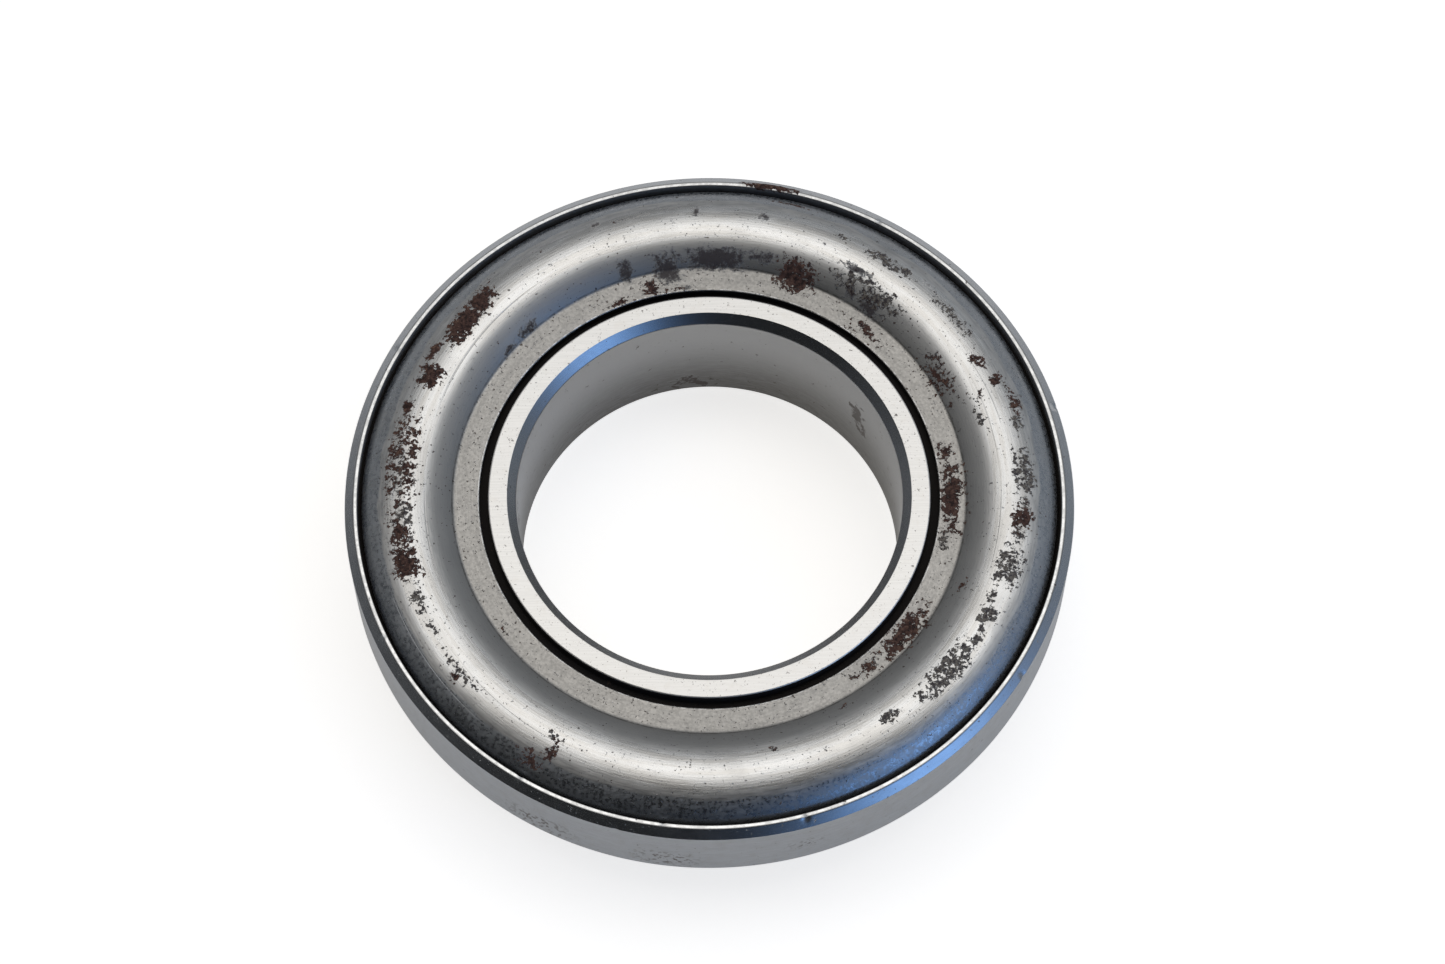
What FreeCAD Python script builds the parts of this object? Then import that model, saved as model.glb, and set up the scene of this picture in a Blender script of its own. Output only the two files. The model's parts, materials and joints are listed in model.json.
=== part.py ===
"""Tapered roller bearing with a domed front shield, in millimetres.

The bearing stands on the bottom face of its inner ring. The origin is the centre of that face and +Z runs
up the bearing's axis, towards the shielded side. Every part of revolution is drawn as a closed outline of
(radius, height) points and turned about Z. The rollers' axes, the cone raceway and the cup raceway all meet
at one point on the axis, the apex, below the bearing. "Along" is a distance from the apex on a roller's axis,
and "out" is a distance square to that axis, positive away from the bearing's axis.
"""

import FreeCAD, Part
import math
import os

# ---- Boundary dimensions
OUTER_RADIUS = 42.5
BORE_RADIUS = 22.5
INNER_RING_WIDTH = 18.5
OUTER_RING_WIDTH = 11.8
FACE_STEP = 0.3                      # the inner ring's top face stands this far above the outer ring's rim

# ---- Outer ring (cup)
RIM_CHAMFER_RADIAL = 1.05
RIM_CHAMFER_AXIAL = 0.8
RIM_INNER_RADIUS = 41.0
SHIELD_SEAT_RADIUS = 40.55
SHIELD_SEAT_DEPTH = 3.8              # from the rim down to the shoulder the shield's skirt stops on
GAP_DEPTH = 1.5                      # open groove between the rim and the shield
WALL_EDGE = 0.15                     # rounding where the rim chamfer meets the wall
RIM_EDGE = 0.05
BACK_CORNER_RADIUS = 2.2
RACEWAY_EDGE = 0.35
SHOULDER_EDGE = 0.2

# ---- Inner ring (cone)
BORE_CHAMFER = 1.05                  # at the top of the bore, at 45 degrees
BORE_CHAMFER_EDGE = 0.3              # rounding where it meets the bore's wall
FACE_EDGE = 0.08                     # rounding where it meets the top face
BASE_CHAMFER = 0.8
NOSE_RADIUS = 25.75
NOSE_EDGE = 0.2
RIB_TOP_DEPTH = 1.8                  # from the inner ring's top face down to the top of the big rib
RIB_RADIUS = 33.6
RIB_EDGE = 0.35
RIB_FACE_EDGE = 0.15
SMALL_RIB_RADIUS = 31.5
SMALL_RIB_WIDTH = 1.5
SMALL_RIB_EDGE = 0.2
SLEEVE_RADIUS = 28.5
NECK_FILLET = 0.3                    # where the nose and the sleeve meet the ribs
SLEEVE_CORNER_RADIUS = 1.0
RELIEF_DEPTH = 0.35                  # undercut where the cone raceway meets each rib
RELIEF_WIDTH = 0.8

# ---- Rollers
ROLLER_COUNT = 24
ROLLER_TILT = 12.0                   # angle between a roller's axis and the bearing's axis, in degrees
ROLLER_MEAN_DIAMETER = 6.6
ROLLER_LENGTH = 7.6
ROLLER_CORNER_RADIUS = 0.4
ROLLER_END_RELIEF = 0.9              # length of the large end that is straight instead of tapered
PITCH_RADIUS = 34.4                  # at the middle of a roller
BIG_END_HEIGHT = 14.65               # height of the centre of a roller's large end
RUNNING_CLEARANCE = 0.05             # to both raceways and to the big rib, which guides the rollers
SMALL_RIB_CLEARANCE = 0.15

# ---- Cage
CAGE_THICKNESS = 1.1
CAGE_OFFSET = 1.3                    # how far the middle of the cage wall stands out from the roller axes
CAGE_END_RING = 1.6
CAGE_FLANGE_DEPTH = 1.6              # how far the small flange reaches in past the roller axes
CAGE_BEND_RADIUS = 1.5
CAGE_EDGE = 0.2
POCKET_CLEARANCE = 0.12
POCKET_END_CLEARANCE = 0.2

# ---- Front shield, pressed from sheet
SHEET = 1.0
LAND_DEPTH = 0.5                     # from the inner ring's top face down to the shield's flat land
LAND_INNER_RADIUS = 26.8
LAND_FILLET = 0.6
LAND_EDGE = 0.15
CREST_HEIGHT = 1.9                   # above the outer ring's rim
CREST_RADIUS = 34.95                 # distance of the crest from the bearing's axis
DOME_RADIUS = 7.4
SKIRT_BEND_RADIUS = 1.3
SKIRT_FOOT_GAP = 0.1

# ---- Worked out from the above
INNER_TOP = INNER_RING_WIDTH
RIM_TOP = INNER_TOP - FACE_STEP
OUTER_BACK = RIM_TOP - OUTER_RING_WIDTH
SHIELD_SHOULDER = RIM_TOP - SHIELD_SEAT_DEPTH
RIB_TOP = INNER_TOP - RIB_TOP_DEPTH
LAND_TOP = INNER_TOP - LAND_DEPTH

TILT = math.radians(ROLLER_TILT)
ROLLER_MIDDLE_HEIGHT = BIG_END_HEIGHT - ROLLER_LENGTH / 2 * math.cos(TILT)
APEX_HEIGHT = ROLLER_MIDDLE_HEIGHT - PITCH_RADIUS / math.tan(TILT)
ALONG_MIDDLE = PITCH_RADIUS / math.sin(TILT)
ALONG_SMALL = ALONG_MIDDLE - ROLLER_LENGTH / 2
ALONG_LARGE = ALONG_MIDDLE + ROLLER_LENGTH / 2
ROLLER_HALF_ANGLE = math.atan(ROLLER_MEAN_DIAMETER / 2 / ALONG_MIDDLE)
CUP_SLOPE = math.tan(TILT + ROLLER_HALF_ANGLE)
CONE_SLOPE = math.tan(TILT - ROLLER_HALF_ANGLE)

UP = FreeCAD.Vector(0, 0, 1)
ORIGIN = FreeCAD.Vector(0, 0, 0)


# ---- Drawing helpers
def point(radius, height):
    return FreeCAD.Vector(radius, 0, height)


def revolve(edges):
    """Turns a closed outline of edges about Z into one solid."""
    face = Part.Face(Part.Wire(edges))
    return face.revolve(ORIGIN, UP, 360)


def rounded_outline(corners):
    """Edges of a closed outline. Each corner is (radius, height) or (radius, height, rounding radius)."""
    count = len(corners)
    spots = [point(c[0], c[1]) for c in corners]
    entries, exits, bulges = [], [], []
    for i, corner in enumerate(corners):
        rounding = corner[2] if len(corner) > 2 else 0.0
        back = (spots[i - 1] - spots[i]).normalize()
        ahead = (spots[(i + 1) % count] - spots[i]).normalize()
        if rounding <= 0:
            entries.append(spots[i])
            exits.append(spots[i])
            bulges.append(None)
            continue
        half = back.getAngle(ahead) / 2
        setback = rounding / math.tan(half)
        middle = (back + ahead).normalize()
        centre = spots[i] + middle * (rounding / math.sin(half))
        entries.append(spots[i] + back * setback)
        exits.append(spots[i] + ahead * setback)
        bulges.append(centre - middle * rounding)
    edges = []
    for i in range(count):
        if bulges[i] is not None:
            edges.append(Part.Arc(entries[i], bulges[i], exits[i]).toShape())
        following = entries[(i + 1) % count]
        if exits[i].distanceToPoint(following) > 1e-6:
            edges.append(Part.makeLine(exits[i], following))
    return edges


def cup_radius(height):
    return (height - APEX_HEIGHT) * CUP_SLOPE


def cone_radius(height):
    return (height - APEX_HEIGHT) * CONE_SLOPE


def on_roller_axis(along, out):
    """(radius, height) of a place given in a roller's own directions."""
    radius = along * math.sin(TILT) + out * math.cos(TILT)
    height = APEX_HEIGHT + along * math.cos(TILT) - out * math.sin(TILT)
    return radius, height


def height_across(along, radius):
    """Height at a radius on the line that crosses a roller's axis squarely at a given distance along it."""
    out = (radius - along * math.sin(TILT)) / math.cos(TILT)
    return on_roller_axis(along, out)[1]


def place_on_pitch(shape, index):
    """Moves a shape from the Z axis, with the apex at the origin, to the place of one roller."""
    placed = shape.copy()
    placed.rotate(ORIGIN, FreeCAD.Vector(0, 1, 0), ROLLER_TILT)
    placed.translate(FreeCAD.Vector(0, 0, APEX_HEIGHT))
    placed.rotate(ORIGIN, UP, index * 360.0 / ROLLER_COUNT)
    return placed


# ---- The parts
def outer_ring():
    wall_top = RIM_TOP - RIM_CHAMFER_AXIAL
    ledge = RIM_TOP - GAP_DEPTH
    lead_in = RIM_INNER_RADIUS - SHIELD_SEAT_RADIUS
    return revolve(rounded_outline([
        (RIM_INNER_RADIUS, RIM_TOP, RIM_EDGE),
        (OUTER_RADIUS - RIM_CHAMFER_RADIAL, RIM_TOP, RIM_EDGE),
        (OUTER_RADIUS, wall_top, WALL_EDGE),
        (OUTER_RADIUS, OUTER_BACK, BACK_CORNER_RADIUS),
        (cup_radius(OUTER_BACK) + RACEWAY_EDGE, OUTER_BACK),
        (cup_radius(OUTER_BACK + RACEWAY_EDGE), OUTER_BACK + RACEWAY_EDGE),
        (cup_radius(SHIELD_SHOULDER), SHIELD_SHOULDER, SHOULDER_EDGE),
        (SHIELD_SEAT_RADIUS, SHIELD_SHOULDER),
        (SHIELD_SEAT_RADIUS, ledge - lead_in),
        (RIM_INNER_RADIUS, ledge),
    ]))


def inner_ring():
    big_along = ALONG_LARGE + RUNNING_CLEARANCE
    big_foot_out = -big_along * math.tan(ROLLER_HALF_ANGLE)
    big_relief = on_roller_axis(big_along, big_foot_out - RELIEF_DEPTH)
    big_relief_end = on_roller_axis(big_along, big_foot_out)[1] - RELIEF_WIDTH
    small_along = ALONG_SMALL - SMALL_RIB_CLEARANCE
    small_foot_out = -small_along * math.tan(ROLLER_HALF_ANGLE)
    small_relief = on_roller_axis(small_along, small_foot_out - RELIEF_DEPTH)
    small_relief_end = on_roller_axis(small_along, small_foot_out)[1] + RELIEF_WIDTH
    small_rib_top = height_across(small_along, SMALL_RIB_RADIUS)
    small_rib_base = small_rib_top - SMALL_RIB_WIDTH
    return revolve(rounded_outline([
        (BORE_RADIUS, INNER_TOP - BORE_CHAMFER, BORE_CHAMFER_EDGE),
        (BORE_RADIUS + BORE_CHAMFER, INNER_TOP, FACE_EDGE),
        (NOSE_RADIUS, INNER_TOP, NOSE_EDGE),
        (NOSE_RADIUS, RIB_TOP, NECK_FILLET),
        (RIB_RADIUS, RIB_TOP, RIB_EDGE),
        (RIB_RADIUS, height_across(big_along, RIB_RADIUS), RIB_FACE_EDGE),
        big_relief,
        (cone_radius(big_relief_end) - RELIEF_DEPTH, big_relief_end + RELIEF_DEPTH),
        (cone_radius(big_relief_end), big_relief_end),
        (cone_radius(small_relief_end), small_relief_end),
        (cone_radius(small_relief_end) - RELIEF_DEPTH, small_relief_end - RELIEF_DEPTH),
        small_relief,
        (SMALL_RIB_RADIUS, small_rib_top, SMALL_RIB_EDGE),
        (SMALL_RIB_RADIUS, small_rib_base, SMALL_RIB_EDGE),
        (SLEEVE_RADIUS, small_rib_base, NECK_FILLET),
        (SLEEVE_RADIUS, 0, SLEEVE_CORNER_RADIUS),
        (BORE_RADIUS + BASE_CHAMFER, 0),
        (BORE_RADIUS, BASE_CHAMFER),
    ]))


def roller():
    """One roller on the Z axis, its cone pointing at the origin."""
    small = ALONG_SMALL * math.tan(ROLLER_HALF_ANGLE) - RUNNING_CLEARANCE
    relief_start = ALONG_LARGE - ROLLER_END_RELIEF
    large = relief_start * math.tan(ROLLER_HALF_ANGLE) - RUNNING_CLEARANCE
    return revolve(rounded_outline([
        (0, ALONG_SMALL),
        (small, ALONG_SMALL, ROLLER_CORNER_RADIUS),
        (large, relief_start),
        (large, ALONG_LARGE, ROLLER_CORNER_RADIUS),
        (0, ALONG_LARGE),
    ]))


def cage():
    inside = CAGE_OFFSET - CAGE_THICKNESS / 2
    outside = CAGE_OFFSET + CAGE_THICKNESS / 2
    pocket_small = ALONG_SMALL - POCKET_END_CLEARANCE
    pocket_large = ALONG_LARGE + POCKET_END_CLEARANCE
    top = pocket_large + CAGE_END_RING
    flange_bottom = pocket_small - CAGE_THICKNESS
    body = revolve(rounded_outline([
        (*on_roller_axis(top, inside), CAGE_EDGE),
        (*on_roller_axis(top, outside), CAGE_EDGE),
        (*on_roller_axis(flange_bottom, outside), CAGE_BEND_RADIUS),
        (*on_roller_axis(flange_bottom, -CAGE_FLANGE_DEPTH), CAGE_EDGE),
        (*on_roller_axis(pocket_small, -CAGE_FLANGE_DEPTH), CAGE_EDGE),
        (*on_roller_axis(pocket_small, inside), CAGE_BEND_RADIUS - CAGE_THICKNESS),
    ]))
    pocket = Part.makeCone(
        pocket_small * math.tan(ROLLER_HALF_ANGLE) + POCKET_CLEARANCE,
        pocket_large * math.tan(ROLLER_HALF_ANGLE) + POCKET_CLEARANCE,
        pocket_large - pocket_small,
        FreeCAD.Vector(0, 0, pocket_small),
        UP,
    )
    pockets = [place_on_pitch(pocket, index) for index in range(ROLLER_COUNT)]
    return body.cut(pockets).Solids[0]


def front_shield():
    """Flat land round the inner ring's nose, crowned dome, and a skirt pressed into the outer ring."""
    dome_centre = point(CREST_RADIUS, RIM_TOP + CREST_HEIGHT - DOME_RADIUS)
    dome_inside = DOME_RADIUS - SHEET
    land_bottom = LAND_TOP - SHEET

    # Fillet between the land and the dome. Its centre lies above the land.
    fillet_height = LAND_TOP + LAND_FILLET
    fillet_rise = fillet_height - dome_centre.z
    fillet_run = math.sqrt((DOME_RADIUS + LAND_FILLET) ** 2 - fillet_rise ** 2)
    fillet_centre = point(CREST_RADIUS - fillet_run, fillet_height)
    to_fillet = (fillet_centre - dome_centre).normalize()

    # Bend between the dome and the skirt. Its centre lies inside the sheet.
    bend_run = SHIELD_SEAT_RADIUS - SKIRT_BEND_RADIUS - CREST_RADIUS
    bend_rise = math.sqrt((DOME_RADIUS - SKIRT_BEND_RADIUS) ** 2 - bend_run ** 2)
    bend_centre = dome_centre + point(bend_run, bend_rise)
    to_bend = (bend_centre - dome_centre).normalize()
    outward = point(1, 0)
    bend_middle = (to_bend + outward).normalize()
    fillet_middle = (FreeCAD.Vector(0, 0, -1) - to_fillet).normalize()
    bend_inside = SKIRT_BEND_RADIUS - SHEET
    fillet_outside = LAND_FILLET + SHEET

    skirt_inner = SHIELD_SEAT_RADIUS - SHEET
    skirt_foot = SHIELD_SHOULDER + SKIRT_FOOT_GAP
    edge_low = point(LAND_INNER_RADIUS, LAND_TOP - LAND_EDGE)
    edge_high = point(LAND_INNER_RADIUS + LAND_EDGE, LAND_TOP)
    edge_centre = point(LAND_INNER_RADIUS + LAND_EDGE, LAND_TOP - LAND_EDGE)
    edge_middle = edge_centre + FreeCAD.Vector(-1, 0, 1).normalize() * LAND_EDGE

    land_end = fillet_centre - UP * LAND_FILLET
    dome_start = fillet_centre - to_fillet * LAND_FILLET
    dome_end = bend_centre + to_bend * SKIRT_BEND_RADIUS
    skirt_start = bend_centre + outward * SKIRT_BEND_RADIUS
    inner_skirt_start = bend_centre + outward * bend_inside
    inner_dome_end = bend_centre + to_bend * bend_inside
    inner_dome_start = fillet_centre - to_fillet * fillet_outside
    inner_land_end = fillet_centre - UP * fillet_outside

    foot_outer = point(SHIELD_SEAT_RADIUS, skirt_foot)
    foot_inner = point(skirt_inner, skirt_foot)
    land_corner = point(LAND_INNER_RADIUS, land_bottom)
    return revolve([
        Part.Arc(edge_low, edge_middle, edge_high).toShape(),
        Part.makeLine(edge_high, land_end),
        Part.Arc(land_end, fillet_centre + fillet_middle * LAND_FILLET, dome_start).toShape(),
        Part.Arc(dome_start, dome_centre + UP * DOME_RADIUS, dome_end).toShape(),
        Part.Arc(dome_end, bend_centre + bend_middle * SKIRT_BEND_RADIUS, skirt_start).toShape(),
        Part.makeLine(skirt_start, foot_outer),
        Part.makeLine(foot_outer, foot_inner),
        Part.makeLine(foot_inner, inner_skirt_start),
        Part.Arc(inner_skirt_start, bend_centre + bend_middle * bend_inside, inner_dome_end).toShape(),
        Part.Arc(inner_dome_end, dome_centre + UP * dome_inside, inner_dome_start).toShape(),
        Part.Arc(inner_dome_start, fillet_centre + fillet_middle * fillet_outside, inner_land_end).toShape(),
        Part.makeLine(inner_land_end, land_corner),
        Part.makeLine(land_corner, edge_low),
    ])


def main():
    os.makedirs("parts", exist_ok=True)
    nodes = {
        "outer_ring": outer_ring(),
        "inner_ring": inner_ring(),
        "roller_cage": cage(),
        "front_shield": front_shield(),
    }
    one_roller = roller()
    for index in range(ROLLER_COUNT):
        nodes[f"roller_{index + 1:02d}"] = place_on_pitch(one_roller, index)
    for name, shape in nodes.items():
        shape.exportStep(f"parts/{name}.step")


main()
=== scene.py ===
"""Looks for the tapered roller bearing: turned meshes, worn steel materials, studio and camera.

Shapes are given in millimetres in the part's own frame: the origin is the centre of the inner ring's bottom
face and +Z is the bearing's axis. Pieces of revolution are outlines of (radius, height) points turned about
the axis. An azimuth is an angle about the axis in degrees, counted from +X towards +Y.
"""

import json
import math
from types import SimpleNamespace

import bpy
import numpy as np
from mathutils import Matrix, Vector, noise


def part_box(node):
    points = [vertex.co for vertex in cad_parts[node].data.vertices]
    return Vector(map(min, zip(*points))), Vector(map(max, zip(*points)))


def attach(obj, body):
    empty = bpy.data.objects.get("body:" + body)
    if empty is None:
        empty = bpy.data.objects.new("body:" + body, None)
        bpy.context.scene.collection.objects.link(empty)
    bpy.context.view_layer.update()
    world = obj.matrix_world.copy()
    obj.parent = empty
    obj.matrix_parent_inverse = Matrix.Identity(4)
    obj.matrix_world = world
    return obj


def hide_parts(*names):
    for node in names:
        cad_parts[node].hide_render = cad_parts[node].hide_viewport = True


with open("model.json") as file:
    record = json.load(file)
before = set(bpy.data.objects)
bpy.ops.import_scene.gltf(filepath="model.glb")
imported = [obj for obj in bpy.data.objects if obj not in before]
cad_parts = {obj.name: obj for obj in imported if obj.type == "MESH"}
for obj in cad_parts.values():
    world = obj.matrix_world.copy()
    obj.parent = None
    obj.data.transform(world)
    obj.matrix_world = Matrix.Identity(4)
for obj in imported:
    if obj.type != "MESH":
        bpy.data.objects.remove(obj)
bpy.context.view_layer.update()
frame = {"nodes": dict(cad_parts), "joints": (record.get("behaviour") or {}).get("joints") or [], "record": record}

MM = 0.001

# ---- Places taken from the frame
OUTER_LOW, OUTER_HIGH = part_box("outer_ring")
INNER_LOW, INNER_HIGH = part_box("inner_ring")
SHIELD_LOW, SHIELD_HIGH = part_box("front_shield")
RIM_TOP = round(OUTER_HIGH.z / MM, 3)
OUTER_BACK = round(OUTER_LOW.z / MM, 3)
INNER_TOP = round(INNER_HIGH.z / MM, 3)
CREST_TOP = round(SHIELD_HIGH.z / MM, 3)
SKIRT_FOOT = round(SHIELD_LOW.z / MM, 3)
MOUNT_RADIUS = {m["name"]: m["dims"]["r_mm"] for m in frame["record"]["mounts"] if "r_mm" in m["dims"]}
OUTER_RADIUS = MOUNT_RADIUS["outer_seat"]
BORE_RADIUS = MOUNT_RADIUS["bore"]
ROLLER_JOINTS = [j for j in frame["joints"] if j["name"].startswith("roller_")]
FIRST_AXIS = Vector(ROLLER_JOINTS[0]["axis"])
FIRST_MIDDLE = Vector(ROLLER_JOINTS[0]["pos_m"]) / MM
TILT = math.atan2(FIRST_AXIS.x, FIRST_AXIS.z)
PITCH_RADIUS = FIRST_MIDDLE.x
APEX_HEIGHT = FIRST_MIDDLE.z - PITCH_RADIUS / math.tan(TILT)
ALONG_MIDDLE = PITCH_RADIUS / math.sin(TILT)

# ---- Outer ring
RIM_CHAMFER_RADIAL = 1.05
RIM_CHAMFER_AXIAL = 0.8
RIM_INNER_RADIUS = 41.0
SHIELD_SEAT_RADIUS = 40.55
SHIELD_SEAT_DEPTH = 3.8
GAP_DEPTH = 1.5
BACK_CORNER_RADIUS = 2.2
RACEWAY_EDGE = 0.35

# ---- Inner ring
BORE_CHAMFER = 1.05
BASE_CHAMFER = 0.8
NOSE_RADIUS = 25.75
RIB_TOP_DEPTH = 1.8
RIB_RADIUS = 33.6
SMALL_RIB_RADIUS = 31.5
SMALL_RIB_WIDTH = 1.5
SLEEVE_RADIUS = 28.5
RELIEF_DEPTH = 0.35
RELIEF_WIDTH = 0.8
BREAK = 0.08                        # rounding of an edge that is only deburred

# ---- Rollers
ROLLER_MEAN_DIAMETER = 6.6
ROLLER_LENGTH = 7.6
ROLLER_CORNER_RADIUS = 0.4
DIMPLE_DEPTH = 0.12                 # shallow recess in the middle of each roller end
RUNNING_CLEARANCE = 0.05
SMALL_RIB_CLEARANCE = 0.15
ALONG_SMALL = ALONG_MIDDLE - ROLLER_LENGTH / 2
ALONG_LARGE = ALONG_MIDDLE + ROLLER_LENGTH / 2
ROLLER_HALF_ANGLE = math.atan(ROLLER_MEAN_DIAMETER / 2 / ALONG_MIDDLE)

# ---- Front shield
SHEET = 1.0
LAND_TOP = INNER_TOP - 0.5
LAND_INNER_RADIUS = 26.8
LAND_FILLET = 0.6
LAND_EDGE = 0.15
CREST_RADIUS = 34.95
DOME_RADIUS = 7.4
SKIRT_BEND_RADIUS = 1.3
LAND_END = 29.9                     # where the land meets the fillet
WORN_LIMIT = 38.4                   # the dome is polished by wear inside this radius

# ---- Mesh fineness
SEGMENTS = 1080                     # round the axis, for the rings and the shield
ROLLER_SEGMENTS = 72
LONGEST_STEP = 0.35                 # along an outline
ARC_STEP = math.radians(9)          # largest turn between two outline points

# ---- Studio light, as radiance
KEY_COLOUR = (1.56, 1.54, 1.50)
ENDS_COLOUR = (1.12, 1.11, 1.09)
WINDOW_COLOUR = (0.53, 1.04, 2.05)
SIDE_COLOUR = (0.11, 0.135, 0.165)
ROOM_BACK = 0.16
ROOM_SIDE = 0.10
ROOM_FRONT = 0.02
FLOOR_GLOW = 0.25                   # light the floor gives to the steel
FLOOR_LIFT = 0.47                   # extra glow of the floor that only the camera sees

# ---- Wear. Each patch is (azimuth from, azimuth to, low, high, strength), in degrees and millimetres. Low
# and high are radii on the shield and the rim, and heights on the outer wall and in the bore.
RUST = [
    (134, 141, 35.2, 37.8, 0.85), (138, 148, 34.6, 37.4, 0.9), (148, 153, 36.5, 37.6, 0.75),
    (153, 158, 34.3, 37.4, 0.85), (161, 164, 36.2, 37.5, 0.8), (165, 183, 34.3, 37.7, 0.85),
    (185, 192, 34.6, 37.5, 0.7), (191, 198, 34.6, 37.7, 0.85), (14, 19, 36.6, 38.2, 0.65),
    (20, 23, 35.5, 37.3, 0.7), (25, 29, 34.8, 36.4, 0.65), (350, 356, 35.2, 37.7, 0.65),
    (65, 74, 28.4, 32.0, 0.8), (350, 367, 26.9, 29.9, 0.8), (313, 329, 26.9, 30.0, 0.72),
    (305, 312, 27.3, 29.5, 0.55), (8, 13, 27.0, 29.2, 0.6), (101, 106, 26.8, 29.3, 0.6),
    (109, 116, 26.9, 27.9, 0.6), (95, 101, 26.9, 27.6, 0.5), (42, 55, 27.2, 29.3, 0.5),
    (22, 34, 29.3, 32.0, 0.5), (235, 240, 37.9, 40.0, 0.5), (240, 242, 34.8, 39.1, 0.55),
    (71, 78, 39.1, 39.6, 0.6), (217, 220, 36.8, 38.0, 0.5), (214, 217, 28.8, 29.4, 0.6),
    (334, 339, 30.8, 32.5, 0.45), (281, 283, 32.7, 33.7, 0.5), (19, 21, 33.6, 34.4, 0.6),
    (236, 241, 38.3, 40.0, 0.45), (121, 123, 36.7, 37.3, 0.6), (297, 300, 30.6, 31.4, 0.5),
]
BARE = [(169, 180, 35.2, 36.9, 0.5), (184, 187, 34.6, 36.0, 0.5), (352, 360, 28.8, 29.6, 0.35)]
STAIN = [
    (82, 94, 29.6, 31.8, 0.9), (96, 102, 28.4, 31.6, 0.8), (107, 110, 29.5, 32.0, 0.7),
    (74, 82, 30.6, 32.0, 0.6), (55, 58, 30.1, 32.0, 0.7), (48, 54, 29.8, 31.7, 0.75),
    (54, 61, 33.0, 33.9, 0.7), (132, 137, 29.8, 30.8, 0.7), (139, 143, 29.8, 30.6, 0.6),
    (93, 96, 26.9, 27.6, 0.6), (78, 80, 35.8, 36.8, 0.7), (91, 93, 35.8, 37.2, 0.7),
    (110, 112, 37.0, 37.7, 0.7), (100, 109, 36.6, 37.2, 0.45), (41, 47, 36.8, 37.4, 0.5),
]
SPECKLE = [
    (303, 307, 34.5, 36.0, 0.75), (311, 313, 34.6, 36.3, 0.7), (313, 326, 34.2, 36.9, 0.75),
    (326, 330, 35.5, 36.6, 0.7), (330, 334, 34.8, 36.8, 0.8), (334, 338, 34.7, 35.8, 0.7),
    (339, 347, 34.2, 37.4, 0.75), (347, 358, 35.5, 37.3, 0.65), (358, 367, 35.4, 37.8, 0.75),
    (11, 14, 36.2, 37.6, 0.7), (48, 58, 35.8, 37.1, 0.8), (169, 181, 35.2, 36.9, 0.9),
    (182, 188, 34.6, 36.6, 0.9), (198, 206, 35.0, 37.2, 0.5), (206, 212, 35.5, 36.8, 0.45),
    (213, 224, 35.8, 37.2, 0.5), (12, 20, 32.3, 33.6, 0.5), (238, 243, 34.9, 36.3, 0.5),
    (44, 62, 30.6, 33.4, 0.6), (30, 44, 35.6, 37.2, 0.5), (20, 36, 29.6, 32.2, 0.5),
    (61, 66, 36.2, 37.0, 0.5), (343, 352, 26.9, 28.6, 0.5), (303, 314, 27.0, 29.4, 0.5),
]
RIM_RUST = [(74, 84, 41.0, 42.4, 0.9)]
WALL_GRIME = [(236, 248, 8.0, 13.0, 0.55), (257, 268, 8.5, 13.0, 0.5), (281, 288, 11.0, 14.0, 0.4)]
BORE_GRIME = [
    (35, 41, 8.5, 12.5, 0.75), (33, 37, 6.0, 9.5, 0.6), (176, 184, 9.0, 15.5, 0.5), (88, 104, 1.0, 4.0, 0.5),
]
# Nicks in the outer ring's rim: (azimuth, radius, height, size, depth), in degrees and millimetres.
NICKS = [
    (284.5, 41.5, 18.2, 0.45, 0.16), (15, 42.2, 17.6, 0.5, 0.18), (262, 41.1, 18.2, 0.4, 0.1),
    (238, 41.1, 18.2, 0.5, 0.1), (205, 41.4, 18.2, 0.4, 0.1), (327, 42.4, 17.4, 0.5, 0.12),
    (152, 41.4, 18.2, 0.4, 0.08), (60, 41.3, 18.2, 0.5, 0.1), (255, 42.5, 17.3, 0.5, 0.1),
]
# Fine scratches on the shield: (centre x, centre y, radius, middle azimuth, half width of the arc, strength).
SCRATCHES = [
    (0.0, 0.6, 33.1, 146, 22, 0.9), (-0.5, 0.9, 32.6, 150, 16, 0.6), (-1.0, -0.4, 32.0, 186, 9, 0.6),
    (1.2, -0.5, 34.0, 22, 10, 0.6), (0.5, 0.4, 33.2, 14, 12, 0.5), (0.3, 0.2, 39.0, 214, 18, 0.6),
    (-0.6, 0.0, 34.4, 352, 10, 0.5), (0.4, -0.8, 35.6, 228, 14, 0.5),
]


# ---- Outlines
def unit(vector):
    return vector / np.linalg.norm(vector)


def angle_of(vector):
    return math.atan2(vector[1], vector[0])


def arc(centre, radius, start, end):
    """Points on an arc, ends included. Angles are in radians, counted from the outward radial direction."""
    turn = abs(end - start)
    steps = max(math.ceil(turn / ARC_STEP), math.ceil(turn * radius / LONGEST_STEP))
    angles = np.linspace(start, end, steps + 1)
    return np.column_stack([centre[0] + radius * np.cos(angles), centre[1] + radius * np.sin(angles)])


def fill_straights(points):
    """Adds points along the long straights of a closed outline, with a short first and last step, and drops
    the second of two points in one place, as where two arcs meet."""
    same_place = 1e-6
    guard = 0.03
    filled = []
    for here, there in zip(points, np.roll(points, -1, axis=0)):
        length = np.linalg.norm(there - here)
        if length < same_place:
            continue
        filled.append(here)
        if length > 4 * guard:
            inner = np.linspace(guard, length - guard, max(2, math.ceil(length / LONGEST_STEP)))
            filled.extend(here + (there - here) * t / length for t in inner)
    return np.array(filled)


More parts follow.
